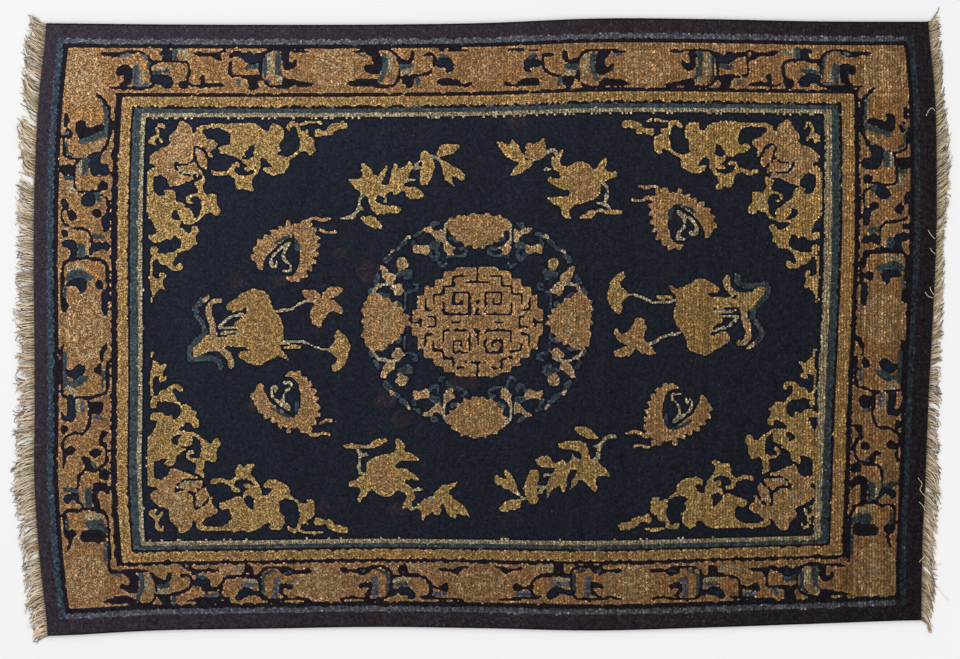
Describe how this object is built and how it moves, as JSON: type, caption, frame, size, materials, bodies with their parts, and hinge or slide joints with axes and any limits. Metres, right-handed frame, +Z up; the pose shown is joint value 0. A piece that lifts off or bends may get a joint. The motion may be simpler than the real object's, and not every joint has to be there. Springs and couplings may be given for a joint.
{
  "type": "pile rug",
  "caption": "Flat rectangular knotted pile rug with uneven hand-woven edges and a cotton warp fringe along both short ends.",
  "frame": {"origin": "middle of the carpet's underside, on the floor", "axes": "+X along the long side, +Y across the rug, +Z up out of the pile"},
  "size_m": [1.9283, 1.3021, 0.0085],
  "materials": {
    "wool": "matte clipped wool pile in navy, aubergine, tan, gold, teal and cream",
    "cotton": "matte undyed cotton yarn"
  },
  "bodies": {
    "root": {"carpet": "wool", "fringe_left": "cotton", "fringe_right": "cotton"}
  },
  "joints": []
}
